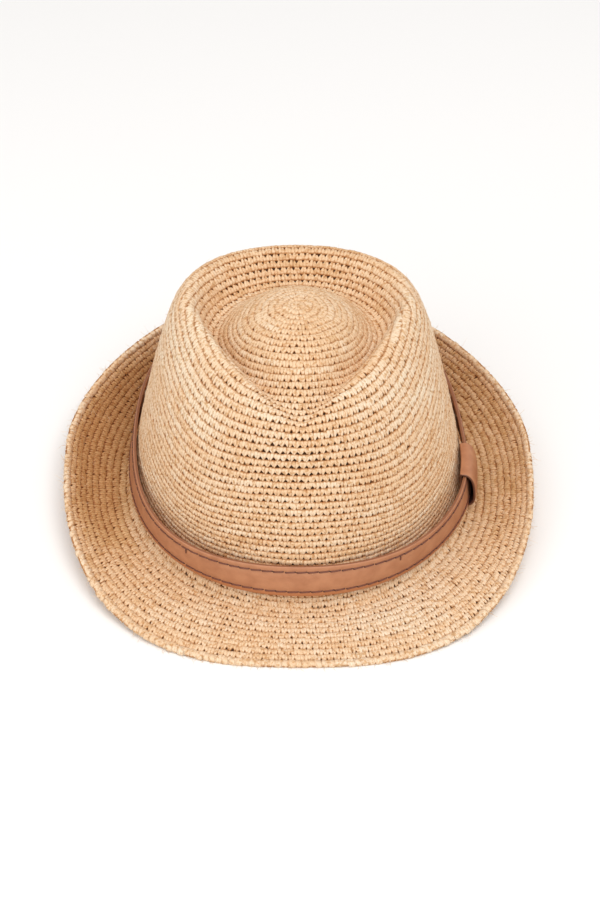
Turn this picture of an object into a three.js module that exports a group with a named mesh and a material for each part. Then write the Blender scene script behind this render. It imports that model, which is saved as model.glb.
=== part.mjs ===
import * as THREE from 'three';

// A trilby crocheted in rounds of raffia, with a leather band and its keeper.
// Millimetres, +Z up. The front of the hat looks toward -Y and the wearer's left is +X.
// The hat is shaped about a cross line through the ears, and is then moved so that its
// origin lies under the middle of its outline, on the surface that it rests on.

// Driving sizes of the crown, taken to the middle of its wall
const headWide = 171; // across the crown's foot
const headFront = 106; // from the cross line to the crown's foot in front
const headBack = 96; // and behind
const crownTall = 114; // from the surface to the button on the tip
const tipWide = 108; // across the crest that runs round the teardrop dent
const tipFront = 87; // from the cross line to the pinched point of the crest
const tipBack = 57; // and to the crest behind

// Driving sizes of the brim
const brimFront = 40; // reach in plan past the crown's foot, in front
const brimSide = 34; // at the sides
const brimBack = 12.5; // behind, where it is steamed up steeply
const frontLift = 2; // how far the brim arches over the surface in front
const sideRise = 20; // height of the brim's edge at the sides
const backRise = 35; // and behind

const wall = 2.2; // thickness of the crocheted raffia
const frontSwing = 0.015; // lean to the wearer's left of each millimetre of forward reach

// Driving sizes of the leather band
const bandTall = 19;
const bandThick = 1.6;
const bandUpEnds = 7.2; // its lower edge in front and behind, up the wall from the brim's fold
const bandUpSides = 3.5; // and at the sides
const bandEase = 0.8; // room between band and crown where it lies closest
const bandBow = 1.8; // how much further its lower edge stands off at the crown's four corners
const bandLean = 5.2; // and how much further its upper edge does

// Driving sizes of the leather keeper that wraps the band
const keeperLong = 22; // along the band
const keeperThick = 1.3;
const keeperBulge = 3; // from the band's face out to the keeper, where the keeper bulges
const keeperGap = 0.5; // clearance between the keeper and the edges of the band
const keeperTurn = 77; // degrees round from the front to the middle of the keeper
const keeperPull = 2.5; // how much further the band stands off where it goes into the keeper
const pullAhead = 5; // degrees from there back to the middle of the keeper
const pullReach = 18; // degrees over which that fades

// Fineness of the facets
const spokes = 68; // round the hat
const crownSteps = 25; // from the button to the fold
const brimSteps = 9; // from the fold to the brim's edge
const bandSpokes = 72;
const keeperStations = 5;
const keeperFacets = 20;

// Rings of the tip, from the button outward. Reaches in plan are shares of half the crest's
// width and of its front and back reach, and ahead says how far the widest place lies in
// front of the cross line, as a share of the front reach. Heights are shares of the crown's
// height. Roundness is a superellipse exponent: 2 is an oval, less is pointed, more square.
// Late says how late the height changes on the way from the front to the side.
const tipRings = [
  { half: 0.19, front: 0.22, ahead: 0.14, back: -0.04, highFront: 0.995, highSide: 0.995, highBack: 0.995,
    roundFront: 2, roundBack: 2, late: 2 },
  { half: 0.54, front: 0.5, ahead: 0.14, back: 0.3, highFront: 0.98, highSide: 0.915, highBack: 0.935,
    roundFront: 1.9, roundBack: 2, late: 2 },
  { half: 0.79, front: 0.81, ahead: 0.05, back: 0.63, highFront: 0.825, highSide: 0.7, highBack: 0.72,
    roundFront: 1.25, roundBack: 2, late: 1.5 },
  { half: 1, front: 0.975, ahead: -0.05, back: 0.98, highFront: 0.825, highSide: 0.975, highBack: 0.91,
    roundFront: 1.15, roundBack: 2, late: 1.15 },
];

// Rings of the crown's wall, from the shoulder down, as shares of half the head's width and
// of its front and back reach, with heights as shares of the crown's height
const wallRings = [
  { half: 0.725, front: 0.865, ahead: -0.05, back: 0.67, highFront: 0.72, highSide: 0.87, highBack: 0.825,
    roundFront: 1.45, roundBack: 2.05, late: 1.3 },
  { half: 0.808, front: 0.928, ahead: -0.03, back: 0.795, highFront: 0.59, highSide: 0.675, highBack: 0.65,
    roundFront: 1.8, roundBack: 2.1, late: 2 },
  { half: 0.907, front: 1, ahead: 0.02, back: 0.9, highFront: 0.325, highSide: 0.385, highBack: 0.385,
    roundFront: 1.95, roundBack: 2.1, late: 2 },
  { half: 0.975, front: 1, ahead: 0.055, back: 0.973, highFront: 0.085, highSide: 0.15, highBack: 0.17,
    roundFront: 1.95, roundBack: 2.1, late: 2 },
];

// Rings of the brim, from the fold outward. Out is the share of the brim's reach past the
// crown's foot. Heights are shares of the front lift, the side rise and the back rise.
const brimRings = [
  { out: 0, outFront: 0, outBack: 0, highFront: 0, highSide: -0.06, highBack: -0.04,
    roundFront: 2, roundBack: 2.1, late: 2 },
  { out: 0.26, outFront: 0.18, outBack: 0.27, highFront: 0.5, highSide: -0.08, highBack: 0.02,
    roundFront: 2.2, roundBack: 2, late: 2.5 },
  { out: 0.73, outFront: 0.57, outBack: 0.67, highFront: 0.65, highSide: 0.34, highBack: 0.46,
    roundFront: 2.4, roundBack: 1.93, late: 3.5 },
  { out: 1, outFront: 1, outBack: 1, highFront: 0, highSide: 1, highBack: 1,
    roundFront: 2.64, roundBack: 1.87, late: 4 },
];
const footAhead = 0.07; // widest place of the crown's foot and brim, as a share of the head's front

// A ring as real lengths, so that tip, wall and brim share one form
function tipRing(row) {
  return {
    ...row, half: row.half * tipWide / 2, front: row.front * tipFront, ahead: row.ahead * tipFront,
    back: row.back * tipBack, high: [row.highFront, row.highSide, row.highBack].map((h) => h * crownTall),
  };
}

function wallRing(row) {
  return {
    ...row, half: row.half * headWide / 2, front: row.front * headFront, ahead: row.ahead * headFront,
    back: row.back * headBack, high: [row.highFront, row.highSide, row.highBack].map((h) => h * crownTall),
  };
}

function brimRing(row) {
  const rises = [row.highFront * frontLift, row.highSide * sideRise, row.highBack * backRise];
  return {
    ...row, half: headWide / 2 + row.out * brimSide, front: headFront + row.outFront * brimFront,
    ahead: footAhead * headFront, back: headBack + row.outBack * brimBack, high: rises.map((h) => wall / 2 + h),
  };
}

const rings = [...tipRings.map(tipRing), ...wallRings.map(wallRing), ...brimRings.map(brimRing)];
const foldPast = 0.7; // the fold's share of the way from the last ring of the wall to the brim's first
const foldRun = tipRings.length + wallRings.length + foldPast;
const edgeRun = rings.length;
const backLate = 2; // how late heights change on the way from the back to the side

const signedPower = (value, power) => Math.sign(value) * Math.abs(value) ** power;

// Point of a ring at a turn in radians from the front toward the wearer's left
function ringPoint(ring, turn) {
  const ahead = Math.cos(turn);
  const aside = Math.sin(turn);
  const inFront = ahead >= 0;
  const power = 2 / (inFront ? ring.roundFront : ring.roundBack);
  const reach = inFront ? ring.front - ring.ahead : ring.back + ring.ahead;
  const forward = reach * signedPower(ahead, power);
  const [highFront, highSide, highBack] = ring.high;
  const rise = Math.abs(aside) ** (inFront ? ring.late : backLate);
  const highEnd = inFront ? highFront : highBack;
  return new THREE.Vector3(
    ring.half * signedPower(aside, power) + forward * frontSwing,
    -ring.ahead - forward,
    highEnd + (highSide - highEnd) * rise,
  );
}

// The button is the first control point, and the last ring is met exactly
function controlPoint(index, turn) {
  const last = rings.length;
  if (index < 0) return controlPoint(0, turn).multiplyScalar(2).sub(controlPoint(1, turn));
  if (index > last) return controlPoint(last, turn).multiplyScalar(2).sub(controlPoint(last - 1, turn));
  if (index === 0) return new THREE.Vector3(0, -tipRings[0].ahead * tipFront, crownTall);
  return ringPoint(rings[index - 1], turn);
}

// Middle of the wall: a uniform cubic spline runs through the rings from the button at 0
function skin(run, turn) {
  const start = Math.min(Math.floor(run), rings.length - 1);
  const t = run - start;
  const weights = [(1 - t) ** 3, 3 * t ** 3 - 6 * t ** 2 + 4, -3 * t ** 3 + 3 * t ** 2 + 3 * t + 1, t ** 3];
  const point = new THREE.Vector3();
  weights.forEach((weight, i) => point.addScaledVector(controlPoint(start - 1 + i, turn), weight / 6));
  return point;
}

// Unit normal on the side that faces up and out
const nearby = 1e-3; // in runs and in radians
function outward(run, turn) {
  if (run === 0) return new THREE.Vector3(0, 0, 1);
  const down = skin(Math.min(run + nearby, edgeRun), turn).sub(skin(run - nearby, turn));
  const round = skin(run, turn + nearby).sub(skin(run, turn - nearby));
  return down.cross(round).normalize();
}

// The underside is pressed flat where the hat rests, so nothing reaches below the surface
function underside(run, turn) {
  const point = skin(run, turn).addScaledVector(outward(run, turn), -wall / 2);
  point.z = Math.max(point.z, 0);
  return point;
}

const topside = (run, turn) => skin(run, turn).addScaledVector(outward(run, turn), wall / 2);

// A closed mesh from points and the loops of points that its faces join
function solid(points, faces, colour, roughness) {
  const geometry = new THREE.BufferGeometry();
  geometry.setAttribute('position', new THREE.Float32BufferAttribute(points.flatMap((p) => p.toArray()), 3));
  geometry.setIndex(faces);
  geometry.computeVertexNormals();
  const material = new THREE.MeshStandardMaterial({ color: colour, roughness, metalness: 0 });
  return new THREE.Mesh(geometry, material);
}

const quad = (a, b, c, d) => [a, b, c, a, c, d];

// Crown and brim are one crocheted piece, a shell that is open below
function hatBody() {
  const runs = [];
  for (let i = 1; i <= crownSteps; i += 1) runs.push(foldRun * i / crownSteps);
  for (let i = 1; i <= brimSteps; i += 1) runs.push(foldRun + (edgeRun - foldRun) * i / brimSteps);
  const points = [topside(0, 0), underside(0, 0)];
  for (const face of [topside, underside]) {
    for (const run of runs) {
      for (let j = 0; j < spokes; j += 1) points.push(face(run, 2 * Math.PI * j / spokes));
    }
  }
  const at = (side, step, spoke) => 2 + (side * runs.length + step) * spokes + (spoke % spokes);
  const faces = [];
  for (let j = 0; j < spokes; j += 1) {
    faces.push(0, at(0, 0, j), at(0, 0, j + 1));
    faces.push(1, at(1, 0, j + 1), at(1, 0, j));
    for (let i = 0; i + 1 < runs.length; i += 1) {
      faces.push(...quad(at(0, i, j), at(0, i + 1, j), at(0, i + 1, j + 1), at(0, i, j + 1)));
      faces.push(...quad(at(1, i, j), at(1, i, j + 1), at(1, i + 1, j + 1), at(1, i + 1, j)));
    }
    const edge = runs.length - 1;
    faces.push(...quad(at(0, edge, j), at(1, edge, j), at(1, edge, j + 1), at(0, edge, j + 1)));
  }
  return solid(points, faces, '#dcae7c', 0.85);
}

// Run on the wall that lies a given distance up from the fold
const climbStep = 0.02; // in runs
function runUpWall(up, turn) {
  let run = foldRun;
  let climbed = 0;
  let here = skin(run, turn);
  while (climbed < up) {
    const next = skin(run - climbStep, turn);
    climbed += here.distanceTo(next);
    here = next;
    run -= climbStep;
  }
  return run;
}

// Way round the crown at a height up the wall, toward the wearer's left
const turnStep = 0.02; // in radians
function wayRound(up, turn, offset) {
  const run = runUpWall(up, turn);
  const along = (t) => skin(run, t).addScaledVector(outward(run, t), offset);
  return along(turn + turnStep).sub(along(turn - turnStep)).normalize();
}

// The band's own frame at a turn: the middle of its leather, its way up and its way out
function bandFrame(turn) {
  const atCorner = Math.sin(2 * turn) ** 2;
  const past = (THREE.MathUtils.radToDeg(turn) - keeperTurn + pullAhead) / pullReach;
  const pull = keeperPull * Math.exp(-(past ** 2));
  const against = wall / 2 + bandEase + pull + bandThick / 2;
  const [footOff, headOff] = [bandBow, bandLean].map((further) => against + further * atCorner);
  const footUp = THREE.MathUtils.lerp(bandUpEnds, bandUpSides, Math.sin(turn) ** 2);
  const [foot, head] = [[footUp, footOff], [footUp + bandTall, headOff]].map(([up, offset]) => {
    const run = runUpWall(up, turn);
    return skin(run, turn).addScaledVector(outward(run, turn), offset);
  });
  const middle = foot.clone().add(head).multiplyScalar(0.5);
  const up = head.sub(foot).normalize();
  const out = wayRound(footUp + bandTall / 2, turn, (footOff + headOff) / 2).cross(up).normalize();
  return { middle, up, out };
}

// A ring of leather round the crown's foot
function band() {
  const corners = [[-1, -1], [1, -1], [1, 1], [-1, 1]];
  const points = [];
  for (let j = 0; j < bandSpokes; j += 1) {
    const { middle, up, out } = bandFrame(2 * Math.PI * j / bandSpokes);
    for (const [side, end] of corners) {
      points.push(middle.clone().addScaledVector(out, side * bandThick / 2).addScaledVector(up, end * bandTall / 2));
    }
  }
  const at = (spoke, corner) => (spoke % bandSpokes) * corners.length + (corner % corners.length);
  const faces = [];
  for (let j = 0; j < bandSpokes; j += 1) {
    for (let k = 0; k < corners.length; k += 1) {
      faces.push(...quad(at(j, k), at(j + 1, k), at(j + 1, k + 1), at(j, k + 1)));
    }
  }
  return solid(points, faces, '#c0835a', 0.6);
}

// Section of the keeper about the band: flat behind the leather and bulging in front of it.
// As powers of an oval's sine and cosine, less than 1 is fuller.
const bulgeFullness = 0.75;
const flatFullness = 0.2;
function keeperPoint(frame, angle, inset) {
  const ahead = Math.cos(angle);
  const outReach = bandThick / 2 + keeperBulge + keeperThick - inset;
  const inReach = bandThick / 2 + keeperGap + keeperThick - inset;
  const halfTall = bandTall / 2 + keeperGap + keeperThick - inset;
  const out = ahead >= 0 ? outReach * ahead : -inReach * Math.abs(ahead) ** flatFullness;
  const up = halfTall * signedPower(Math.sin(angle), ahead >= 0 ? bulgeFullness : flatFullness);
  return frame.middle.clone().addScaledVector(frame.out, out).addScaledVector(frame.up, up);
}

// A sleeve of leather round the band at the wearer's left
function bandKeeper() {
  const centre = THREE.MathUtils.degToRad(keeperTurn);
  const radius = bandFrame(centre).middle.distanceTo(new THREE.Vector3(0, 0, bandUpSides));
  const span = keeperLong / radius;
  const points = [];
  for (let k = 0; k < keeperStations; k += 1) {
    const frame = bandFrame(centre + span * (k / (keeperStations - 1) - 0.5));
    for (const inset of [0, keeperThick]) {
      for (let j = 0; j < keeperFacets; j += 1) {
        points.push(keeperPoint(frame, 2 * Math.PI * j / keeperFacets, inset));
      }
    }
  }
  const at = (station, side, j) => (station * 2 + side) * keeperFacets + (j % keeperFacets);
  const last = keeperStations - 1;
  const faces = [];
  for (let j = 0; j < keeperFacets; j += 1) {
    for (let k = 0; k < last; k += 1) {
      faces.push(...quad(at(k, 0, j), at(k + 1, 0, j), at(k + 1, 0, j + 1), at(k, 0, j + 1)));
      faces.push(...quad(at(k, 1, j), at(k, 1, j + 1), at(k + 1, 1, j + 1), at(k + 1, 1, j)));
    }
    faces.push(...quad(at(0, 0, j), at(0, 0, j + 1), at(0, 1, j + 1), at(0, 1, j)));
    faces.push(...quad(at(last, 0, j), at(last, 1, j), at(last, 1, j + 1), at(last, 0, j + 1)));
  }
  return solid(points, faces, '#c48862', 0.6);
}

// The whole hat, moved so that its origin lies under the middle of its outline
const group = new THREE.Group();
const pieces = { hat_body: hatBody(), band: band(), band_keeper: bandKeeper() };
const outline = new THREE.Box3().setFromObject(pieces.hat_body);
const centre = outline.getCenter(new THREE.Vector3());
for (const [name, mesh] of Object.entries(pieces)) {
  mesh.name = name;
  group.add(mesh);
}
group.position.set(-centre.x, -centre.y, -outline.min.z);
group.updateMatrixWorld(true);

export default group;
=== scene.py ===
import math

import bpy
import numpy as np
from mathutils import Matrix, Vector


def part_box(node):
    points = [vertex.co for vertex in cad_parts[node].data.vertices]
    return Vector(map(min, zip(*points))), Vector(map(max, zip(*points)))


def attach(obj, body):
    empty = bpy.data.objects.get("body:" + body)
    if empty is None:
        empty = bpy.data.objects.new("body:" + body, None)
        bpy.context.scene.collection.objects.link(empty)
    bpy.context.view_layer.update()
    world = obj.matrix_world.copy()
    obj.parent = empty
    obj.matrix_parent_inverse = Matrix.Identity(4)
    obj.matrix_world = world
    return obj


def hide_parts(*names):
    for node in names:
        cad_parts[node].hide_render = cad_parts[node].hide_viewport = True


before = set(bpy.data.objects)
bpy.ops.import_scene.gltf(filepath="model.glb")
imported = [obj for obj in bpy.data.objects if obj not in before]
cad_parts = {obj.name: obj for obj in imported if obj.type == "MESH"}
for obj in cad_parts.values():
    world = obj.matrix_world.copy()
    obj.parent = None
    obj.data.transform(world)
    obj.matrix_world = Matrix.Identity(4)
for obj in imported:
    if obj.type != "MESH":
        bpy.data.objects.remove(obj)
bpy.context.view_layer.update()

# A trilby crocheted in rounds of raffia, with a leather band and its keeper.
# Metres, +Z up. The front looks toward -Y and the wearer's left is +X.

MM = 0.001
# Every random number comes from here, in the same order each run
DRAW = np.random.default_rng(48)

# The hat's driving sizes in millimetres, to the middle of its wall
HEAD_WIDE, HEAD_FRONT, HEAD_BACK = 171, 106, 96
CROWN_TALL = 114
TIP_WIDE, TIP_FRONT, TIP_BACK = 108, 87, 57
BRIM_FRONT, BRIM_SIDE, BRIM_BACK = 40, 34, 12.5
FRONT_LIFT, SIDE_RISE, BACK_RISE = 2, 20, 35
WALL = 2.2
# The front swings to the wearer's left, and the fold and brim are widest a little ahead, both
# as shares of the length in front
FRONT_SWING = 0.015
FOOT_AHEAD = 0.07

BAND_TALL, BAND_THICK = 19, 1.6
# The band's lower edge over the fold, at the hat's front and back and at its sides
BAND_UP_ENDS, BAND_UP_SIDES = 7.2, 3.5
# How far the band stands off the crown all round, and how much more at the crown's four
# corners, at the band's foot and at its head
BAND_EASE, BAND_BOW, BAND_LEAN = 0.8, 1.8, 5.2
# and how much more again just ahead of the keeper, how many degrees ahead and over how many
KEEPER_PULL, PULL_AHEAD, PULL_REACH = 2.5, 5, 18
# The keeper's place in degrees from the front, and how far its front end slants
KEEPER_TURN, KEEPER_SLANT = 77, 3
KEEPER_LONG, KEEPER_THICK, KEEPER_BULGE, KEEPER_GAP = 22, 1.3, 3, 0.5

# Rings of the tip from the button outward, and of the wall down from the shoulder, as
# shares of the sizes above: half width, front, ahead, back, height in front, at the side
# and behind, roundness in front and behind, and how late the height changes from the front
TIP_RINGS = [
    (0.19, 0.22, 0.14, -0.04, 0.995, 0.995, 0.995, 2, 2, 2),
    (0.54, 0.5, 0.14, 0.3, 0.98, 0.915, 0.935, 1.9, 2, 2),
    (0.79, 0.81, 0.05, 0.63, 0.825, 0.7, 0.72, 1.25, 2, 1.5),
    (1, 0.975, -0.05, 0.98, 0.825, 0.975, 0.91, 1.15, 2, 1.15),
]
WALL_RINGS = [
    (0.725, 0.865, -0.05, 0.67, 0.72, 0.87, 0.825, 1.45, 2.05, 1.3),
    (0.808, 0.928, -0.03, 0.795, 0.59, 0.675, 0.65, 1.8, 2.1, 2),
    (0.907, 1.0, 0.02, 0.9, 0.325, 0.385, 0.385, 1.95, 2.1, 2),
    (0.975, 1.0, 0.055, 0.973, 0.085, 0.15, 0.17, 1.95, 2.1, 2),
]
# Rings of the brim from the fold outward: reach at the side, in front and behind, height in
# front, at the side and behind, roundness in front and behind, and how late it rises
BRIM_RINGS = [
    (0, 0, 0, 0, -0.06, -0.04, 2, 2.1, 2),
    (0.26, 0.18, 0.27, 0.5, -0.08, 0.02, 2.2, 2, 2.5),
    (0.73, 0.57, 0.67, 0.65, 0.34, 0.46, 2.4, 1.93, 3.5),
    (1, 1, 1, 0, 1, 1, 2.64, 1.87, 4),
]
# The fold lies a little inside the brim's first ring, counted in rings from the button
FOLD_RUN = len(TIP_RINGS) + len(WALL_RINGS) + 0.7

# Rounds of crochet: each is worked all the way round, and the crown has them at equal
# steps from the button down to the fold
CROWN_ROUNDS = 48
BRIM_ROUNDS = 12
ROUNDS = CROWN_ROUNDS + BRIM_ROUNDS
STITCH_WIDE, BRIM_STITCH_WIDE, EDGE_LOOP_WIDE = 3.45, 3.1, 3.2
# The pinch pulls the rounds out of level: how far they droop in millimetres at the crown's
# two front corners, from this round down to the fold, and at the front of the dent
CORNER_DROOP, DROOPS_FROM = 13, 14
MIDDLE_DROOP = 2

# The grids that the hat's skin is read from: columns round it, rows in each round of
# crochet, and the finer steps that each column is measured with
TURNS = 1440
STEPS_IN_ROUND = 8
STEPS_DOWN = 1200


# The shape of the hat

def bell(value, middle, reach):
    """1 at the middle, falling away smoothly on both sides."""
    return np.exp(-((value - middle) / reach) ** 2)


def oval(half, front, ahead, back, heights, round_front, round_back, late, turn):
    """One ring of the hat's shape, as points in millimetres at the given turns from the front."""
    cos, sin = np.cos(turn), np.sin(turn)
    in_front = cos >= 0
    power = 2 / np.where(in_front, round_front, round_back)
    reach = np.where(in_front, front - ahead, back + ahead)
    forward = reach * np.sign(cos) * np.abs(cos) ** power
    end = np.where(in_front, heights[0], heights[2])
    rise = np.abs(sin) ** np.where(in_front, late, 2)
    across = half * np.sign(sin) * np.abs(sin) ** power + forward * FRONT_SWING
    return np.stack([across, -ahead - forward, end + (heights[1] - end) * rise], axis=-1)


def hat_rings(turn):
    """The button, every ring outward to the brim's edge, and one reflected past each end."""
    rings = [np.tile([0, -TIP_RINGS[0][2] * TIP_FRONT, CROWN_TALL], (len(turn), 1))]
    crown = ((TIP_RINGS, TIP_WIDE, TIP_FRONT, TIP_BACK), (WALL_RINGS, HEAD_WIDE, HEAD_FRONT, HEAD_BACK))
    for shares, wide, long_front, long_back in crown:
        for half, front, ahead, back, *high, round_front, round_back, late in shares:
            heights = [share * CROWN_TALL for share in high]
            rings.append(oval(half * wide / 2, front * long_front, ahead * long_front, back * long_back,
                              heights, round_front, round_back, late, turn))
    for side, front, back, *high, round_front, round_back, late in BRIM_RINGS:
        rises = np.array(high) * (FRONT_LIFT, SIDE_RISE, BACK_RISE) + WALL / 2
        rings.append(oval(HEAD_WIDE / 2 + side * BRIM_SIDE, HEAD_FRONT + front * BRIM_FRONT,
                          FOOT_AHEAD * HEAD_FRONT, HEAD_BACK + back * BRIM_BACK,
                          rises, round_front, round_back, late, turn))
    first, last = 2 * rings[0] - rings[1], 2 * rings[-1] - rings[-2]
    return np.array([first, *rings, last])


def lie_of_the_rounds():
    """Points on the middle of the wall on a grid of rounds by turns, and the crown's length
    from button to fold at each turn."""
    turn = np.linspace(0, 2 * np.pi, TURNS + 1)
    rings = hat_rings(turn)
    edge_run = len(rings) - 3
    runs = np.linspace(0, edge_run, STEPS_DOWN + 1)
    start = np.minimum(runs.astype(int), edge_run - 1)
    t = runs - start
    # A cubic B-spline from ring to ring, as the solid's surface is
    weights = [(1 - t) ** 3, 3 * t ** 3 - 6 * t ** 2 + 4, -3 * t ** 3 + 3 * t ** 2 + 3 * t + 1, t ** 3]
    skin = sum(rings[start + i] * w[:, None, None] / 6 for i, w in enumerate(weights))
    steps = np.linalg.norm(np.diff(skin, axis=0), axis=2)
    length = np.vstack([np.zeros(TURNS + 1), np.cumsum(steps, axis=0)])
    rounds = np.linspace(0, ROUNDS, ROUNDS * STEPS_IN_ROUND + 1)
    # The wall's droop is most 60 degrees from the front and ends at 120
    from_front = np.abs((turn + np.pi) % (2 * np.pi) - np.pi)
    corner = np.sin(np.minimum(1.5 * from_front, np.pi)) ** 2.1
    down_the_wall = np.clip((rounds - DROOPS_FROM) / (CROWN_ROUNDS - DROOPS_FROM), 0, 1)
    on_wall = np.sin(np.pi * down_the_wall) ** 1.3
    # The dent's is most at its front
    middle = bell(from_front, 0, 0.3)
    in_dent = bell(rounds, 17, 7)
    grid = np.empty((len(rounds), TURNS + 1, 3))
    crown_long = np.empty(TURNS + 1)
    for j in range(TURNS + 1):
        fold = np.interp(FOLD_RUN, runs, length[:, j])
        edge = length[-1, j]
        crown_long[j] = fold
        down = np.where(rounds <= CROWN_ROUNDS, rounds / CROWN_ROUNDS * fold,
                        fold + (rounds - CROWN_ROUNDS) / BRIM_ROUNDS * (edge - fold))
        down += CORNER_DROOP * corner[j] * on_wall + MIDDLE_DROOP * middle[j] * in_dent
        for axis in range(3):
            grid[:, j, axis] = np.interp(down, length[:, j], skin[:, j, axis])
    return grid, crown_long


def evened_round(grid):
    """The same grid with its columns at equal steps along each round, from the front, and
    each row's length. The first row is the button, a single point."""
    steps = np.linalg.norm(np.diff(grid, axis=1), axis=2)
    length = np.hstack([np.zeros((len(grid), 1)), np.cumsum(steps, axis=1)])
    even = grid.copy()
    for i in range(1, len(grid)):
        at = np.linspace(0, 1, TURNS + 1) * length[i, -1]
        for axis in range(3):
            even[i, :, axis] = np.interp(at, length[i], grid[i, :, axis])
    return even, length[:, -1]


def normals_of(grid):
    """Outward normals of such a grid, on the side that faces up and out."""
    down = np.gradient(grid, axis=0)
    wrapped = np.concatenate([grid[:, -2:-1], grid, grid[:, 1:2]], axis=1)
    along = (wrapped[:, 2:] - wrapped[:, :-2]) / 2
    normal = np.cross(down, along)
    normal /= np.maximum(np.linalg.norm(normal, axis=2, keepdims=True), 1e-12)
    normal[0] = (0, 0, 1)
    return normal


# The grid by turn has its columns at equal turns from the front, as the band needs, and the
# grid by round at equal steps along each round, as the stitches need
by_turn, CROWN_LONG = lie_of_the_rounds()
node_low, node_high = (np.array(corner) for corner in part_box("hat_body"))
brim_edge = by_turn[-1]
shift = (node_low + node_high) / 2 / MM - (brim_edge.min(axis=0) + brim_edge.max(axis=0)) / 2
by_turn += (shift[0], shift[1], 0)
by_round, ROUND_LONG = evened_round(by_turn)
GRIDS = {"turn": (by_turn, normals_of(by_turn)), "round": (by_round, normals_of(by_round))}


def read_grid(table, rounds, share):
    """Values of a grid at fractional rounds and at shares of the way round."""
    row = np.clip(rounds * STEPS_IN_ROUND, 0, len(table) - 1)
    column = np.mod(share, 1) * TURNS
    i = np.minimum(row.astype(int), len(table) - 2)
    j = np.minimum(column.astype(int), TURNS - 1)
    a, b = (row - i)[..., None], (column - j)[..., None]
    upper = table[i, j] * (1 - b) + table[i, j + 1] * b
    lower = table[i + 1, j] * (1 - b) + table[i + 1, j + 1] * b
    return upper * (1 - a) + lower * a


def on_hat(rounds, share, lift, grid="round"):
    """Points in millimetres over the wall's middle, pressed flat where the hat rests."""
    places, normals = GRIDS[grid]
    point = read_grid(places, rounds, share) + read_grid(normals, rounds, share) * lift[..., None]
    point[..., 2] = np.maximum(point[..., 2], 0)
    return point


# Meshes

def new_piece(name, points, faces):
    """A piece from points in millimetres and rows of four corners."""
    mesh = bpy.data.meshes.new(name)
    points = np.asarray(points, dtype=np.float32) * MM
    faces = np.asarray(faces, dtype=np.int32)
    mesh.vertices.add(len(points))
    mesh.vertices.foreach_set("co", points.ravel())
    mesh.loops.add(faces.size)
    mesh.loops.foreach_set("vertex_index", faces.ravel())
    mesh.polygons.add(len(faces))
    mesh.polygons.foreach_set("loop_start", np.arange(0, faces.size, 4, dtype=np.int32))
    mesh.polygons.foreach_set("use_smooth", np.ones(len(faces), dtype=bool))
    mesh.update(calc_edges=True)
    piece = bpy.data.objects.new(name, mesh)
    bpy.context.scene.collection.objects.link(piece)
    return piece


def faces_of_copies(faces, size, count, start=0):
    """The faces of a number of copies of a shape, whose points follow one another."""
    firsts = start + size * np.arange(count)
    return (faces[None] + firsts[:, None, None]).reshape(-1, 4)


def lay_uv(piece, corners):
    """A UV map from one pair of values for each corner of each face."""
    layer = piece.data.uv_layers.new(name="UVMap")
    layer.data.foreach_set("uv", np.asarray(corners, dtype=np.float32).ravel())


def keep_values(piece, name, values):
    """A number kept at every point of the piece, for its material."""
    layer = piece.data.attributes.new(name, "FLOAT", "POINT")
    layer.data.foreach_set("value", np.asarray(values, dtype=np.float32).ravel())


# A strand's six-sided section. Seen from the strand's foot it goes round so that faces turn
# out, and each of its two ends is closed by two faces.
FLAT_SECTION = ((-1, 0), (-0.58, -0.95), (0.58, -0.95), (1, 0), (0.58, 0.95), (-0.58, 0.95))
END_FACES = np.array([(0, 1, 2, 3), (0, 3, 4, 5)])


def strand(stations):
    """A short closed strand: its points as side, down and lift, its faces and their UVs.
    Stations are side, down, lift, half width and half height, from its top to its foot."""
    around = len(FLAT_SECTION)
    last = len(stations) - 1
    points = []
    for side, down, lift, half_wide, half_high in stations:
        for a, b in FLAT_SECTION:
            points.append((side + a * half_wide, down, lift + b * half_high))
    faces, uv = [], []
    for s in range(last):
        top, foot = s / last, (s + 1) / last
        for j in range(around):
            k = (j + 1) % around
            near, far = j / around, (j + 1) / around
            faces.append((s * around + j, s * around + k, (s + 1) * around + k, (s + 1) * around + j))
            uv.append(((near, top), (far, top), (far, foot), (near, foot)))
    for end, closing in ((0, END_FACES[:, ::-1]), (1, END_FACES + last * around)):
        for face in closing:
            faces.append(tuple(face))
            uv.append(((0.2, end), (0.3, end), (0.4, end), (0.5, end)))
    return np.array(points), np.array(faces), np.array(uv)


# Materials

# Sockets of a Mix node that mixes colours
FACTOR, FIRST, SECOND, MIXED = 0, 6, 7, 2


def linear(code):
    """A colour from its sRGB hex code, turned linear, with a full alpha."""
    parts = [int(code[i:i + 2], 16) / 255 for i in (1, 3, 5)]
    return [c / 12.92 if c <= 0.04045 else ((c + 0.055) / 1.055) ** 2.4 for c in parts] + [1.0]


def add(tree, kind, values=None, links=None, stops=None, **settings):
    """Adds a node with its settings, its input values, its links and its ramp's stops."""
    made = tree.nodes.new(kind)
    for key, value in settings.items():
        setattr(made, key, value)
    for key, value in (values or {}).items():
        made.inputs[key].default_value = value
    for key, socket in (links or {}).items():
        tree.links.new(socket, made.inputs[key])
    if stops:
        elements = made.color_ramp.elements
        while len(elements) < len(stops):
            elements.new(0.5)
        for element, (place, code) in zip(elements, stops):
            element.position = place
            element.color = linear(code)
    return made


def new_finish(name, roughness):
    """A material with its shader, whose colour and bump are still to be linked."""
    material = bpy.data.materials.new(name)
    material.use_nodes = True
    tree = material.node_tree
    tree.nodes.clear()
    shader = add(tree, "ShaderNodeBsdfPrincipled", values={"Roughness": roughness})
    add(tree, "ShaderNodeOutputMaterial", links={"Surface": shader.outputs[0]})
    return material, tree, shader


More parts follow.
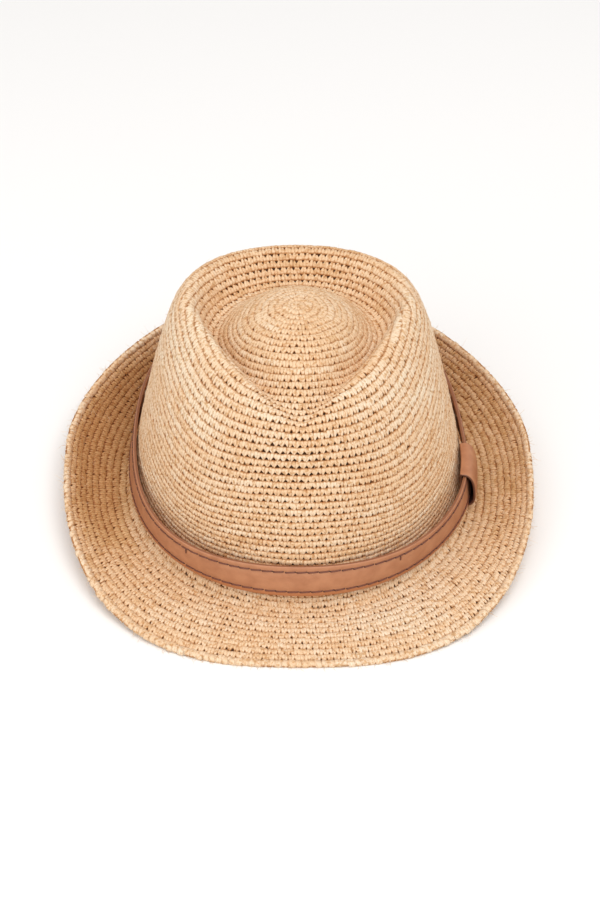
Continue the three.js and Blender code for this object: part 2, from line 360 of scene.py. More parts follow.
def raffia_finish():
    """Raffia, the dried and twisted leaf of a palm: a dull sheen along its fibres, and each
    length of leaf a little lighter, yellower or pinker than the next. Painted shade darkens
    the seams between its strands, and painted shade and painted light are laid into its colour."""
    material, tree, shader = new_finish("raffia", 0.6)
    tone_and_painted_light = add(tree, "ShaderNodeAttribute", attribute_name="tone_and_painted_light")
    colour = add(tree, "ShaderNodeValToRGB", links={"Fac": tone_and_painted_light.outputs["Fac"]},
                 stops=[(0, "#BE874F"), (0.2, "#E0B684"), (0.38, "#F1CDA5"), (0.6, "#F6D7B3"),
                        (0.8, "#F9E0C2"), (1, "#FBE8CE")])
    # Painted shade in the seams between strands: the deeper a point lies, the browner and darker
    depth = add(tree, "ShaderNodeAttribute", attribute_name="depth")
    shade = add(tree, "ShaderNodeValToRGB", links={"Fac": depth.outputs["Fac"]},
                stops=[(0, "#7A5432"), (0.5, "#D2AC80"), (0.85, "#FFFFFF")])
    # Fibres about 0.2 mm apart round each strand, drawn twice as coarse as the leaf's own
    uv = add(tree, "ShaderNodeUVMap", uv_map="UVMap")
    stretched = add(tree, "ShaderNodeMapping", values={"Scale": (34, 2.2, 1)},
                    links={"Vector": uv.outputs["UV"]})
    fibre = add(tree, "ShaderNodeTexNoise", values={"Scale": 1.0, "Detail": 2.0},
                links={"Vector": stretched.outputs[0]})
    streak = add(tree, "ShaderNodeValToRGB", links={"Fac": fibre.outputs["Fac"]},
                 stops=[(0.3, "#D9CDBE"), (0.7, "#FFFFFF")])
    # The torn edge of the leaf and its fluff make flecks about 1.5 mm across
    place = add(tree, "ShaderNodeTexCoord")
    fluff = add(tree, "ShaderNodeTexNoise", values={"Scale": 650.0, "Detail": 3.0},
                links={"Vector": place.outputs["Object"]})
    flecks = add(tree, "ShaderNodeValToRGB", links={"Fac": fluff.outputs["Fac"]},
                 stops=[(0.36, "#E2CCB0"), (0.51, "#FFFFFF")])
    final = colour.outputs["Color"]
    for layer in (shade, streak, flecks):
        both = add(tree, "ShaderNodeMix", data_type="RGBA", blend_type="MULTIPLY",
                   values={FACTOR: 1.0}, links={FIRST: final, SECOND: layer.outputs["Color"]})
        final = both.outputs[MIXED]
    bump = add(tree, "ShaderNodeBump", values={"Strength": 0.35, "Distance": 0.0002},
               links={"Height": fibre.outputs["Fac"]})
    tree.links.new(final, shader.inputs["Base Color"])
    tree.links.new(bump.outputs[0], shader.inputs["Normal"])
    shader.inputs["IOR"].default_value = 1.45
    return material


def painted_shade_raffia_finish():
    """Painted shade inside the crochet, where little light comes: a dull dark brown, as seen
    through the holes between the stitches."""
    material, tree, shader = new_finish("raffia_inside_painted_shade", 0.9)
    # Mottle about 1.7 mm across
    place = add(tree, "ShaderNodeTexCoord")
    mottle = add(tree, "ShaderNodeTexNoise", values={"Scale": 600.0},
                 links={"Vector": place.outputs["Object"]})
    colour = add(tree, "ShaderNodeValToRGB", links={"Fac": mottle.outputs["Fac"]},
                 stops=[(0.3, "#2E1B0C"), (0.7, "#4E3017")])
    tree.links.new(colour.outputs["Color"], shader.inputs["Base Color"])
    return material


def leather_finish(name, face, low, painted_shade_strip, cut_edge_and_shade):
    """Vegetable tanned cowhide with a waxed face: fine grain, a soft gloss, and a darker
    mottle where the tan took unevenly. Its colours are the face's, its low places', a painted
    shade along the face under the lower line of thread, and the raw edges', which also serves
    as painted shade inside the keeper."""
    material, tree, shader = new_finish(name, 0.5)
    # Mottle about 6 mm across
    place = add(tree, "ShaderNodeTexCoord")
    mottle = add(tree, "ShaderNodeTexNoise", values={"Scale": 160.0, "Detail": 4.0},
                 links={"Vector": place.outputs["Object"]})
    plain = add(tree, "ShaderNodeValToRGB", links={"Fac": mottle.outputs["Fac"]},
                stops=[(0.3, low), (0.65, face)])
    final = plain.outputs["Color"]
    for kept, code in (("painted_shade_strip", painted_shade_strip), ("cut_edge_and_shade", cut_edge_and_shade)):
        share = add(tree, "ShaderNodeAttribute", attribute_name=kept)
        both = add(tree, "ShaderNodeMix", data_type="RGBA", values={SECOND: linear(code)},
                   links={FACTOR: share.outputs["Fac"], FIRST: final})
        final = both.outputs[MIXED]
    # Grain 0.5 mm across
    grain = add(tree, "ShaderNodeTexVoronoi", values={"Scale": 2000.0},
                links={"Vector": place.outputs["Object"]})
    bump = add(tree, "ShaderNodeBump", values={"Strength": 0.25, "Distance": 0.00015},
               links={"Height": grain.outputs["Distance"]})
    tree.links.new(final, shader.inputs["Base Color"])
    tree.links.new(bump.outputs[0], shader.inputs["Normal"])
    return material


def thread_finish():
    """Waxed linen thread, dark brown and a little glossy, twisted from two plies."""
    material, tree, shader = new_finish("waxed_thread", 0.55)
    uv = add(tree, "ShaderNodeUVMap", uv_map="UVMap")
    turned = add(tree, "ShaderNodeMapping", values={"Rotation": (0, 0, 0.6), "Scale": (3, 6, 1)},
                 links={"Vector": uv.outputs["UV"]})
    plies = add(tree, "ShaderNodeTexWave", values={"Scale": 1.0}, links={"Vector": turned.outputs[0]})
    colour = add(tree, "ShaderNodeValToRGB", links={"Fac": plies.outputs["Fac"]},
                 stops=[(0.2, "#55291F"), (0.8, "#84503D")])
    # Painted shade at both ends, where each stitch goes down into its hole
    along = add(tree, "ShaderNodeSeparateXYZ", links={"Vector": uv.outputs["UV"]})
    from_middle = add(tree, "ShaderNodeMath", operation="SUBTRACT", values={1: 0.5},
                      links={0: along.outputs["Y"]})
    far = add(tree, "ShaderNodeMath", operation="ABSOLUTE", links={0: from_middle.outputs[0]})
    painted_hole_shade = add(tree, "ShaderNodeValToRGB", links={"Fac": far.outputs[0]},
               stops=[(0.2, "#FFFFFF"), (0.38, "#6A4A44")])
    both = add(tree, "ShaderNodeMix", data_type="RGBA", blend_type="MULTIPLY", values={FACTOR: 1.0},
               links={FIRST: colour.outputs["Color"], SECOND: painted_hole_shade.outputs["Color"]})
    tree.links.new(both.outputs[MIXED], shader.inputs["Base Color"])
    return material


RAFFIA = raffia_finish()
PAINTED_SHADE_RAFFIA = painted_shade_raffia_finish()
# The band's third colour is painted shade along its face under the lower line of thread
BAND_LEATHER = leather_finish("tan_leather", "#C08560", "#B07552", "#B8754A", "#8A5638")
# The keeper's last colour is its raw ends', and in full it is the painted shade inside it
KEEPER_LEATHER = leather_finish("keeper_leather", "#BC8058", "#A86B47", "#B06A38", "#3C2220")
THREAD = thread_finish()


# The crochet

# One stitch is two strands that part a little toward its foot, over a small dark hole.
# Side in stitch widths, down in rounds, lift in millimetres, half width and half height.
LEFT_STRAND = [
    (-0.22, -0.1, -0.1, 0.3, 0.6),
    (-0.245, 0.14, 0.12, 0.36, 0.88),
    (-0.25, 0.46, 0.2, 0.365, 0.9),
    (-0.30, 0.80, 0.12, 0.255, 0.86),
    (-0.31, 1.07, -0.1, 0.23, 0.6),
]
RIGHT_STRAND = [
    (0.23, -0.1, -0.1, 0.3, 0.6),
    (0.25, 0.14, 0.1, 0.36, 0.87),
    (0.26, 0.44, 0.17, 0.36, 0.88),
    (0.31, 0.76, 0.06, 0.245, 0.82),
    (0.32, 1.03, -0.15, 0.22, 0.6),
]
# The last round is finished with a loop over the edge at each stitch. The section turns over
# with the loop, so its half height is negative under the brim.
EDGE_LOOP = [
    (-0.1, -0.9, 0.55, 0.4, 0.4),
    (-0.05, -0.3, 0.8, 0.55, 0.4),
    (0.0, 0.02, 0.45, 0.58, 0.28),
    (0.0, 0.02, -0.45, 0.58, -0.28),
    (0.05, -0.3, -0.8, 0.55, -0.4),
    (0.1, -0.9, -0.5, 0.4, -0.35),
]
# How far each of its stations also stands out past the edge, in rounds
EDGE_LOOP_OUT = [0, 0.05, 0.09, 0.09, 0.05, 0]

# Where the holes gape: how much, at which round and over how many, and at which share of the
# way round from the front and over how much of it
GAPING = [
    (1.25, 25, 3.5, 0, 0.085),   # under the pinch
    (0.75, 34, 9, 0, 0.15),      # down the front of the wall
    (1.0, 17.5, 3.5, 0.5, 0.12),  # the dent's back wall
    (0.6, 16, 6.5, 0, 0.13),     # the front of the dent
    (0.5, 9, 5, 0, 0.2),         # the front of the dome
]

# The round that runs along the crest round the dent, at each step of the way round
CREST_FROM, CREST_TO = 12, 32
CREST_ROUND = CREST_FROM + np.argmax(
    by_round[CREST_FROM * STEPS_IN_ROUND:CREST_TO * STEPS_IN_ROUND, :, 2], axis=0) / STEPS_IN_ROUND

# The dark layer of painted shade inside the crochet: its two faces from the wall's middle in
# millimetres
INSIDE_TOP, INSIDE_FOOT = -0.1, -0.45


def finish_raffia(piece):
    """The material, slot and body that all the raffia has."""
    piece.data.materials.append(RAFFIA)
    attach(piece, "root")


def drift(count, reach):
    """Smooth values from 0 to 1 along a closed round, changing over about reach stitches."""
    knots = max(4, round(count / reach))
    values = DRAW.random(knots)
    at = np.arange(count) / count * knots
    low = at.astype(int)
    t = at - low
    t = t * t * (3 - 2 * t)
    return values[low % knots] * (1 - t) + values[(low + 1) % knots] * t


def gape(rounds, share):
    """How far the holes gape: 0 is the usual stitch, 1 wide open and -1 closed. They are
    closed round the button, along the crest and on the wall's sides."""
    beside = np.minimum(share, 1 - share)
    wide = sum(much * bell(rounds, at, reach) * bell(beside, place, spread)
               for much, at, reach, place, spread in GAPING)
    closed = 0.6 * bell(rounds, 0, 8)
    crest = np.interp(share, np.linspace(0, 1, TURNS + 1), CREST_ROUND)
    closed = closed + 1.1 * bell(rounds - crest, -0.8, 1.5) * (1 - bell(beside, 0.5, 0.16))
    closed = closed + 0.5 * (rounds > 24) * bell(beside, 0.3, 0.13)
    closed = closed + np.where(rounds > CROWN_ROUNDS, 0.02, 0)
    return wide - closed - 0.1


def colours_of_stitches(i, share):
    """Each stitch's colour value in a round, with painted shade and painted light added to its
    own, and how far the painted seam shade is eased.
    """
    on_brim = i >= CROWN_ROUNDS
    count = len(share)
    beside = np.minimum(share, 1 - share)
    tone_and_painted_light = 0.2 + 0.42 * drift(count, 7) + 0.25 * drift(count, 2) + 0.13 * DRAW.random(count)
    if on_brim:
        tone_and_painted_light = 0.75 * tone_and_painted_light + 0.3 * DRAW.random(count)
    # Painted shade where the brim turns up at the sides, most on the wearer's right
    turned_up_painted_shade = np.minimum(1.6 * bell(i, 53.5, 5) * bell(beside, 0.29, 0.15), 1)
    turned_up_painted_shade = turned_up_painted_shade * np.where(share > 0.5, 0.88, 0.6)
    # Painted shade on the dent's back wall too
    shaded = np.maximum(turned_up_painted_shade, 0.4 * bell(i, 17, 4) * bell(beside, 0.5, 0.17))
    # Painted light along the crest, and on the brim's front toward the wearer's left
    painted_lightening = bell(i, 21, 5) * (0.4 * bell(share, 0.8, 0.12) + 0.3 * bell(share, 0.2, 0.12))
    painted_lightening = painted_lightening + 0.3 * bell(i, 54, 6) * (bell(share, 0.1, 0.1) + 0.4 * bell(share, 0.9, 0.1))
    # The painted seam shade is eased on the brim, less where it turns up, and round the button
    eased_seam_shade = (0.4 if on_brim else 0.42 * bell(i, 0, 11)) * (1 - turned_up_painted_shade)
    return tone_and_painted_light * (1 - shaded) + painted_lightening, eased_seam_shade


def stitch_rounds(name, first, last):
    """The rounds from first up to last, as one piece."""
    left_points, left_faces, left_uv = strand(LEFT_STRAND)
    right_points, right_faces, right_uv = strand(RIGHT_STRAND)
    faces = np.concatenate([left_faces, right_faces + len(left_points)])
    uv = np.concatenate([left_uv, right_uv + (0, 1.0)])
    size = len(left_points) + len(right_points)
    # The stations and the section are kept apart here, so that each strand's width and
    # height can vary at its own place
    stations = np.repeat(np.array(LEFT_STRAND + RIGHT_STRAND), len(FLAT_SECTION), axis=0)
    across, through = np.tile(np.array(FLAT_SECTION), (len(LEFT_STRAND) + len(RIGHT_STRAND), 1)).T
    centre, drop, height, half_wide, half_high = stations.T
    # The part of each strand toward its foot, where the two part over the hole
    low = np.clip((drop - 0.4) / 0.4, 0, 1)
    outer = np.sign(centre)
    right_foot = (outer > 0) * np.clip((drop - 0.6) / 0.4, 0, 1)
    high = np.clip(np.abs(height + through * half_high), 0, 1)
    points, tones_and_painted_light, depths, all_faces, all_uv = [], [], [], [], []
    used = 0
    for i in range(first, last):
        on_brim = i >= CROWN_ROUNDS
        wide = BRIM_STITCH_WIDE if on_brim else STITCH_WIDE
        # How uneven the stitches are in lift, sideways, down and in how far their holes gape
        uneven_lift, uneven_side, uneven_down, uneven_gape = (
            (0.1, 0.045, 0.06, 0.45) if on_brim else (0.06, 0.03, 0.035, 0.3))
        middle_long = np.interp(i + 0.5, np.arange(len(ROUND_LONG)) / STEPS_IN_ROUND, ROUND_LONG)
        count = max(6, round(middle_long / wide))
        # Each round's stitches sit a little more than half a stitch on from the last round's
        share = np.mod((np.arange(count) + 0.5 + 0.5 * (i % 2) + 0.11 * i) / count, 1)
        # For each stitch its lift, side, down, height, gape and looseness
        wander = DRAW.normal(0, 1, (count, 6, 1))
        wide_by = (gape(i + 1.0, share) + uneven_gape * wander[:, 4, 0])[:, None]
        open_by, closed_by = np.clip(wide_by, 0, 1.5), np.clip(-wide_by, 0, 1)
        side = (centre + outer * low * (0.05 * open_by - 0.05 * closed_by)
                + across * (half_wide + low * (0.12 * closed_by - 0.07 * open_by)))
        side = side + uneven_side * wander[:, 1]
        # A loose stitch is short at its right foot, which leaves a dark tail beside its hole
        loose = np.clip(0.5 * open_by + 0.35 * wander[:, 5], 0, 1)
        down = drop - 0.15 * right_foot * loose + uneven_down * wander[:, 2]
        lift = (height + through * half_high) * (1 + 0.05 * wander[:, 3])
        lift = lift - 0.25 * right_foot * loose + uneven_lift * wander[:, 0]
        place = on_hat(i + down, share[:, None] + side / count, lift)
        tone_and_painted_light, eased_seam_shade = colours_of_stitches(i, share)
        points.append(place.reshape(-1, 3))
        tones_and_painted_light.append(np.repeat(tone_and_painted_light, size))
        # Painted seam shade, darkest at the points nearest the wall's middle, eased as set above
        depths.append((1 - (1 - high) * (1 - eased_seam_shade[:, None])).ravel())
        all_faces.append(faces_of_copies(faces, size, count, used))
        all_uv.append(np.tile(uv, (count, 1, 1)))
        used += count * size
    piece = new_piece(name, np.concatenate(points), np.concatenate(all_faces))
    lay_uv(piece, np.concatenate(all_uv))
    keep_values(piece, "tone_and_painted_light", np.concatenate(tones_and_painted_light))
    keep_values(piece, "depth", np.concatenate(depths))
    finish_raffia(piece)


def inside_of_the_crochet():
    """A thin dark layer of painted shade between the strands' two faces, which shows through
    the holes. Its first two points are the middles of its two faces, under the button."""
    columns = 120
    rounds = np.linspace(0, ROUNDS - 0.6, ROUNDS + 1)[1:]
    r, s = np.meshgrid(rounds, np.arange(columns) / columns, indexing="ij")
    upper = on_hat(r, s, np.full(r.shape, INSIDE_TOP)).reshape(-1, 3)
    lower = on_hat(r, s, np.full(r.shape, INSIDE_FOOT)).reshape(-1, 3)
    lower[:, 2] = np.minimum(lower[:, 2], upper[:, 2] - 0.1)
    tip = by_round[0, 0]
    points = np.concatenate([[tip + (0, 0, INSIDE_TOP), tip + (0, 0, INSIDE_FOOT)], upper, lower])
    below = len(upper)
    faces = []
    for i in range(len(rounds) - 1):
        for j in range(columns):
            k = (j + 1) % columns
            row, next_row = 2 + i * columns, 2 + (i + 1) * columns
            a, b, c, d = row + j, next_row + j, next_row + k, row + k
            faces.append((a, b, c, d))
            faces.append((a + below, d + below, c + below, b + below))
    for j in range(0, columns, 2):
        a, b, c = 2 + j, 2 + (j + 1) % columns, 2 + (j + 2) % columns
        faces.append((0, a, b, c))
        faces.append((1, c + below, b + below, a + below))
    rim = 2 + below - columns
    for j in range(columns):
        k = (j + 1) % columns
        faces.append((rim + j, rim + j + below, rim + k + below, rim + k))
    piece = new_piece("raffia_inside_painted_shade", points, faces)
    piece.data.materials.append(PAINTED_SHADE_RAFFIA)
    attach(piece, "root")
    return piece


def edge_of_the_brim():
    """A loop over the edge at each stitch of the last round."""
    template, faces, uv = strand(EDGE_LOOP)
    outward = np.repeat(EDGE_LOOP_OUT, len(FLAT_SECTION))
    template[:, 1] += outward * np.tile([high for _, high in FLAT_SECTION], len(EDGE_LOOP))
    count = round(ROUND_LONG[-1] / EDGE_LOOP_WIDE)
    wander = DRAW.normal(0, 1, (count, 4))
    side = template[:, 0] + 0.05 * wander[:, 0:1]
    down = ROUNDS - 0.1 + template[:, 1] + 0.05 * wander[:, 1:2]
    lift = template[:, 2] * (1 + 0.08 * wander[:, 2:3])
    share = ((np.arange(count) + 0.5) / count)[:, None] + side / count
    # What lies past the last round goes on outward from it
    past = np.maximum(down - ROUNDS, 0)
    point = on_hat(np.minimum(down, ROUNDS), share, lift)
    within = on_hat(np.full(share.shape, ROUNDS - 1.0), share, lift)
    rim = on_hat(np.full(share.shape, float(ROUNDS)), share, lift)
    point = point + (rim - within) * past[..., None]
    point[..., 2] = np.maximum(point[..., 2], 0)
    piece = new_piece("edge_of_the_brim", point.reshape(-1, 3),
                      faces_of_copies(faces, len(template), count))
    lay_uv(piece, np.tile(uv, (count, 1, 1)))
    tone_and_painted_light = 0.45 + 0.4 * drift(count, 6) + 0.15 * DRAW.random(count)
    keep_values(piece, "tone_and_painted_light", np.repeat(tone_and_painted_light, len(template)))
    keep_values(piece, "depth", np.ones(count * len(template)))
    finish_raffia(piece)


def stray_fibres():
    """Short ends of fibre that stand out from the brim's edge and here and there elsewhere."""
    # Each one's round, share of the way round, lift and length
    spots = []
    for _ in range(500):
        spots.append((ROUNDS - 0.1, DRAW.random(), 0.4 * DRAW.normal(), DRAW.uniform(1.5, 4.5)))
    for first, last in ((49, 59.5), (12, 47)):
        for _ in range(240):
            spots.append((DRAW.uniform(first, last), DRAW.random(), 1.0, DRAW.uniform(1.5, 4)))
    points, faces = [], []
    for rounds, share, lift, long in spots:
        share, lift = np.array(share), np.array(lift)
        at = on_hat(np.array(rounds), share, lift)
        out = read_grid(GRIDS["round"][1], np.array(rounds), share)
        away = at - on_hat(np.array(max(rounds - 1.0, 0)), share, lift)
        away /= max(np.linalg.norm(away), 1e-9)
        along = np.cross(out, away)
        lean = DRAW.normal(0, 0.9)
        if rounds > ROUNDS - 1:
            way = away + along * lean + out * DRAW.normal(0, 0.5)
        else:
            way = out * 0.55 + along * lean + away * DRAW.normal(0, 0.7)
        way /= np.linalg.norm(way)
        curl = np.cross(way, DRAW.normal(0, 1, 3)) * 0.45
        side = np.cross(way, (0.31, 0.52, 0.8))
        side /= np.linalg.norm(side)
        other = np.cross(way, side)
        base = len(points)
        # Four-sided, and thinner toward its end
        for s, thick in ((-0.12, 0.075), (0.5, 0.07), (1.0, 0.03)):
            middle = at + (way * s + curl * max(s, 0) ** 2) * long
            for corner in (side, other, -side, -other):
                points.append(middle + corner * thick)
        faces.append((base + 3, base + 2, base + 1, base))
        faces.append((base + 8, base + 9, base + 10, base + 11))
        for ring in range(2):
            for j in range(4):
                a, b = base + ring * 4 + j, base + ring * 4 + (j + 1) % 4
                faces.append((a, b, b + 4, a + 4))
    points = np.array(points)
    points[:, 2] = np.maximum(points[:, 2], 0.02)
    piece = new_piece("stray_fibres", points, faces)
    lay_uv(piece, np.zeros((len(faces) * 4, 2)))
    keep_values(piece, "tone_and_painted_light", np.full(len(points), 0.85))
    keep_values(piece, "depth", np.ones(len(points)))
    finish_raffia(piece)


# The leather

BAND_STEPS = 256
KEEPER_STEPS = 56
# Heights of the two lines of thread over the band's middle
UPPER_LINE = BAND_TALL / 2 - 3.3
LOWER_LINE = 2.9 - BAND_TALL / 2
# From one stitch of thread to the next, where each line's first one sits, and where the two
# tacks sit, as shares of the way round from the front, and how far under the upper line
THREAD_PITCH = 5.6
UPPER_START, LOWER_START = 0.3, 2.1
TACK_PLACES, TACK_BELOW = (0.093, 0.8925), 2
# Stations of a stitch of thread and of a tack, all in millimetres
LONG_STITCH = [
    (0, -2.75, -0.35, 0.5, 0.35),
    (0, -2.25, 0.08, 0.55, 0.35),
    (0, 0, 0.2, 0.36, 0.32),
    (0, 2.25, 0.08, 0.55, 0.35),
    (0, 2.75, -0.35, 0.5, 0.35),
]
TACK = [
    (0, -1.5, -0.35, 0.3, 0.25),
    (0, -1.1, 0.12, 0.36, 0.3),
    (0, 0, 0.22, 0.38, 0.3),
    (0, 1.1, 0.12, 0.36, 0.3),
    (0, 1.5, -0.35, 0.3, 0.25),
]


def unit(vectors):
    """The same directions, each 1 long."""
    return vectors / np.linalg.norm(vectors, axis=-1, keepdims=True)


def up_the_wall(up, share):
    """Rounds at a height in millimetres up the wall from the fold, at shares of a turn."""
    long = np.interp(np.mod(share, 1) * TURNS, np.arange(TURNS + 1), CROWN_LONG)
    return CROWN_ROUNDS * (1 - up / long)


def beside_the_wall(part, share):
    """The middle of the band's leather at a part of its height, at shares of a turn."""
    turn = 2 * np.pi * share
    foot_up = BAND_UP_ENDS + (BAND_UP_SIDES - BAND_UP_ENDS) * np.sin(turn) ** 2
    pull = KEEPER_PULL * bell(share * 360, KEEPER_TURN - PULL_AHEAD, PULL_REACH)
    bow = BAND_BOW + (BAND_LEAN - BAND_BOW) * part
    stand = BAND_EASE + pull + bow * np.sin(2 * turn) ** 2
    rounds = up_the_wall(foot_up + part * BAND_TALL, share)
    return on_hat(rounds, share, WALL / 2 + stand + BAND_THICK / 2, "turn")


def band_frame(share):
    """Middle of the band's leather, its way up and its way out, at shares of a turn."""
    foot, head = beside_the_wall(0, share), beside_the_wall(1, share)
    around = unit(beside_the_wall(0.5, share + 0.003) - beside_the_wall(0.5, share - 0.003))
    up = unit(head - foot)
    return (foot + head) / 2, up, unit(np.cross(around, up))


def closed_sweep(name, sections):
    """A ring whose sections follow one another round it. The points of each section go from
    its outer side up, inward and down. It starts as a torus, whose points are then placed."""
    count, around = sections.shape[:2]
    bpy.ops.object.select_all(action="DESELECT")
    bpy.ops.mesh.primitive_torus_add(major_segments=count, minor_segments=around,
                                     major_radius=0.09, minor_radius=0.01)
    piece = bpy.context.object
    piece.name = name
    piece.data.name = name
    piece.data.vertices.foreach_set("co", (sections * MM).astype(np.float32).ravel())
    piece.data.update()
    bpy.ops.object.shade_smooth()
    return piece


def leather_band():
    """A strap with rounded edges that swells a little between its lines of thread."""
    half, tall = BAND_THICK / 2, BAND_TALL / 2
    # Out from the leather's face, and up from its edge or from the lower line of thread
    rounded = [(-0.45, 0), (-0.12, 0.15), (0, 0.6)]
    groove = [(0, -0.7), (-0.16, -0.2), (-0.16, 0.2), (0.02, 0.8)]
    face = [(half + a, b - tall) for a, b in rounded]
    face += [(half + a, LOWER_LINE + b) for a, b in groove]
    face += [(half + 0.1, -2.5), (half + 0.13, 0), (half + 0.1, 2.5)]
    face += [(half + a, UPPER_LINE - b) for a, b in reversed(groove)]
    face += [(half + a, tall - b) for a, b in reversed(rounded)]
    back = [(-half - a, tall - b) for a, b in rounded]
    back += [(-half, 0)]
    back += [(-half - a, b - tall) for a, b in reversed(rounded)]
    outline = np.array(face + back)
    middle, up, out = band_frame(np.arange(BAND_STEPS) / BAND_STEPS)
    # Worn leather is never quite even along its edges
    wave = 0.22 * (drift(BAND_STEPS, 20) - 0.5)
    sections = (middle[:, None] + out[:, None] * outline[None, :, :1]
                + up[:, None] * (outline[None, :, 1:] + wave[:, None, None]))
    piece = closed_sweep("leather_band", sections)
    cut_edge_and_shade = np.where(np.abs(outline[:, 1]) > tall - 0.1, 1.0, 0.0)
    keep_values(piece, "cut_edge_and_shade", np.tile(cut_edge_and_shade, BAND_STEPS))
    # Painted shade along the face, from the lower line of thread down to the lower edge
    low_painted_shade = np.clip((LOWER_LINE - outline[:, 1]) / 0.8, 0, 1) * (outline[:, 0] > 0)
    keep_values(piece, "painted_shade_strip", np.tile(low_painted_shade, BAND_STEPS))
    piece.data.materials.append(BAND_LEATHER)
    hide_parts("band")
    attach(piece, "root")


def keeper_outline(angle, inset):
    """Out and up of the keeper's section: flat behind the band and bulging in front of it."""
    cos, sin = np.cos(angle), np.sin(angle)
    front = cos >= 0
    out_reach = BAND_THICK / 2 + KEEPER_BULGE + KEEPER_THICK - inset
    in_reach = BAND_THICK / 2 + KEEPER_GAP + KEEPER_THICK - inset
    tall = BAND_TALL / 2 + KEEPER_GAP + KEEPER_THICK - inset
    out = np.where(front, out_reach * cos, -in_reach * np.abs(cos) ** 0.2)
    up = tall * np.sign(sin) * np.abs(sin) ** np.where(front, 0.75, 0.2)
    return out, up


def leather_keeper():
    """A sleeve round the band, slanted at its front end and square at the other."""
    end, thick = KEEPER_LONG / 2, KEEPER_THICK
    # The wall's outline: in from its outer face, and along the band
    outside = [(0.0, s) for s in (end - 0.35, end - 1.2, 6, 3, 0, -3, -6, 1.2 - end, 0.35 - end)]
    inside = [(thick, s) for s in (0.35 - end, -6, 0, 6, end - 0.35)]
    front_end = [(0.3, -end), (thick - 0.3, -end)]
    back_end = [(thick - a, -b) for a, b in front_end]
    wall = np.array(outside + front_end + inside + back_end)
    inset, along = wall.T
    angle = np.arange(KEEPER_STEPS)[:, None] / KEEPER_STEPS * 2 * np.pi
    centre = KEEPER_TURN / 360
    middle, _, _ = band_frame(np.array([centre]))
    radius = np.linalg.norm(middle[0] - (shift[0], shift[1], BAND_UP_SIDES))
    # The end toward the front slants back at the foot
    foot = (1 - np.sin(angle)) / 2
    slant = KEEPER_SLANT * np.clip(-along / end, 0, 1) * foot
    middle, up, out = band_frame(centre + (along + slant) / radius / (2 * np.pi))
    # The leather draws in a little half way along, where the band pulls it down
    drawn = 1 - 0.05 * np.cos(along / end * np.pi / 2)
    out_by, up_by = keeper_outline(angle, inset)
    out_by = np.where(out_by > 0, out_by * drawn, out_by)
    piece = closed_sweep("leather_keeper", middle + out * out_by[..., None] + up * up_by[..., None])
    # Its two ends are raw leather, and its inside gets painted shade, the darkest of all
    cut_edge_and_shade = np.where(np.abs(along) > end - 0.2, 0.8, 0)
    cut_edge_and_shade = np.where(inset > thick - 0.1, 1, cut_edge_and_shade)
    keep_values(piece, "cut_edge_and_shade", np.tile(cut_edge_and_shade, KEEPER_STEPS))
    keep_values(piece, "painted_shade_strip", np.zeros(KEEPER_STEPS * len(wall)))
    piece.data.materials.append(KEEPER_LEATHER)
    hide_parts("band_keeper")
    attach(piece, "root")


def stitches_in_leather():
    """Two lines of long stitches through the band, and a tack on each side of its front."""
    # Lengths along the band, measured at each half degree
    shares = np.arange(721) / 720
    middle, _, _ = band_frame(shares)
    steps = np.linalg.norm(np.diff(middle, axis=0), axis=1)
    lengths = np.concatenate([[0], np.cumsum(steps)])
    round_long = lengths[-1]
    count = round(round_long / THREAD_PITCH)
    face = BAND_THICK / 2 - 0.1
    sewn = []

    def sew(shape, at_long, along, up_by, out_by):
        """Lays one stitch's points on the band, with its lengths along, up and out of it."""
        share = np.interp(np.mod(at_long + along, round_long), lengths, shares)
        middle, up, out = band_frame(share)
        points, faces, uv = shape
        sewn.append((middle + out * out_by[:, None] + up * up_by[:, None], faces, uv))

    stitch = strand(LONG_STITCH)
    across, along, lift = stitch[0].T
    for line, start in ((UPPER_LINE, UPPER_START), (LOWER_LINE, LOWER_START)):
        for k in range(count):
            at_long = start + k * round_long / count + 0.15 * DRAW.normal()
            # Each stitch leans a little
            sew(stitch, at_long, along, line + across + 0.1 * along, face + lift)
    points, faces, uv = strand(TACK)
    across, along, lift = points.T
    for share in TACK_PLACES:
        at_long = np.interp(share, shares, lengths)
        # A tack runs up the band, so its faces turn the other way round
        sew((points, faces[:, ::-1], uv), at_long, across, UPPER_LINE - TACK_BELOW + along,
            face + 0.18 + lift)
    firsts = np.cumsum([0] + [len(placed) for placed, _, _ in sewn])
    piece = new_piece("band_thread", np.concatenate([placed for placed, _, _ in sewn]),
                      np.concatenate([own + first for (_, own, _), first in zip(sewn, firsts)]))
    lay_uv(piece, np.concatenate([own for _, _, own in sewn]))
    piece.data.materials.append(THREAD)
    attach(piece, "root")


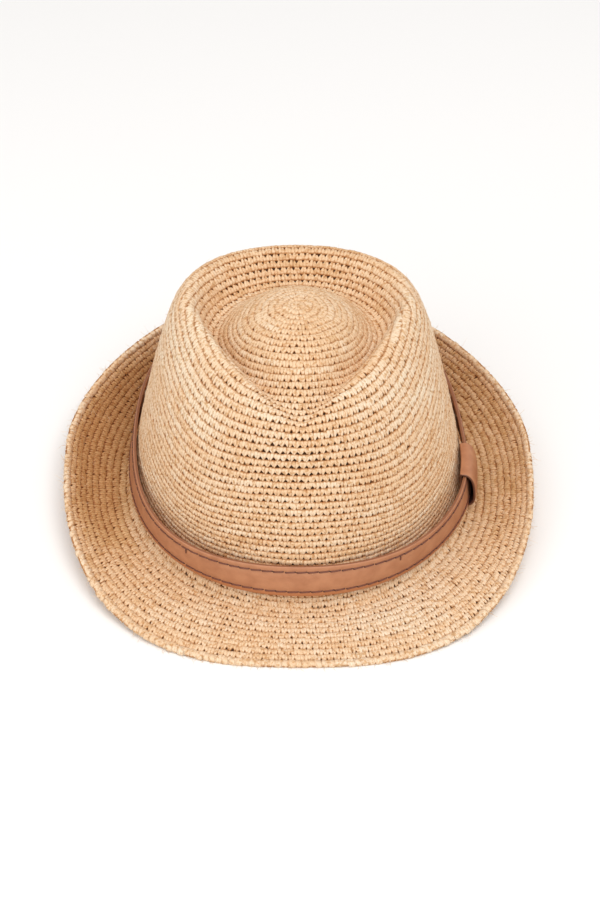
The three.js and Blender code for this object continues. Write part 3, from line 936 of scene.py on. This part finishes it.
core = inside_of_the_crochet()
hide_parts("hat_body")
edge_of_the_brim()
stray_fibres()
leather_band()
leather_keeper()
stitches_in_leather()
# The crochet is six pieces, because one alone would have too many triangles
for name, first, last in (("rounds_of_the_dome", 0, 19), ("rounds_of_the_crest", 19, 31),
                          ("rounds_of_the_wall", 31, 41), ("rounds_of_the_foot", 41, 50),
                          ("rounds_of_the_brim", 50, 56), ("rounds_of_the_edge", 56, 60)):
    stitch_rounds(name, first, last)


# Floor, light and camera

def studio():
    """A pale floor of matt board, which shows a soft shadow and no gloss, under a white sky,
    with a large soft lamp above the front and a weak one on the wearer's right."""
    bpy.ops.object.select_all(action="DESELECT")
    bpy.ops.mesh.primitive_plane_add(size=12, location=(0, 0, 0))
    floor = bpy.context.object
    floor.name = "floor"
    material, _, shader = new_finish("pale_board", 0.9)
    shader.inputs["Base Color"].default_value = linear("#F4F2F0")
    floor.data.materials.append(material)

    bpy.context.scene.view_settings.view_transform = "Standard"
    world = bpy.data.worlds.new("studio")
    world.use_nodes = True
    sky = world.node_tree.nodes["Background"]
    sky.inputs["Color"].default_value = linear("#FFFFFF")
    sky.inputs["Strength"].default_value = 0.66
    bpy.context.scene.world = world

    aim = Vector((0, 0, 0.05))
    for name, place, power in (("key", (0.3, -0.7, 1.7), 20), ("fill", (-0.9, -0.9, 0.9), 5.5)):
        light = bpy.data.lights.new(name, "AREA")
        light.energy = power
        light.shape = "DISK"
        light.size = 1.4
        lamp = bpy.data.objects.new(name, light)
        lamp.location = place
        lamp.rotation_euler = (aim - Vector(place)).to_track_quat("-Z", "Y").to_euler()
        bpy.context.scene.collection.objects.link(lamp)


def camera():
    """Looks down 41 degrees at the hat's front from 1.1 metres."""
    lens = bpy.data.cameras.new("camera")
    lens.sensor_fit = "VERTICAL"
    lens.sensor_height = 36
    lens.lens = 85.8
    made = bpy.data.objects.new("camera", lens)
    made.location = (0.00105, -0.8286, 0.7471)
    made.rotation_euler = (math.radians(49), 0, 0)
    bpy.context.scene.collection.objects.link(made)
    bpy.context.scene.camera = made


studio()
camera()
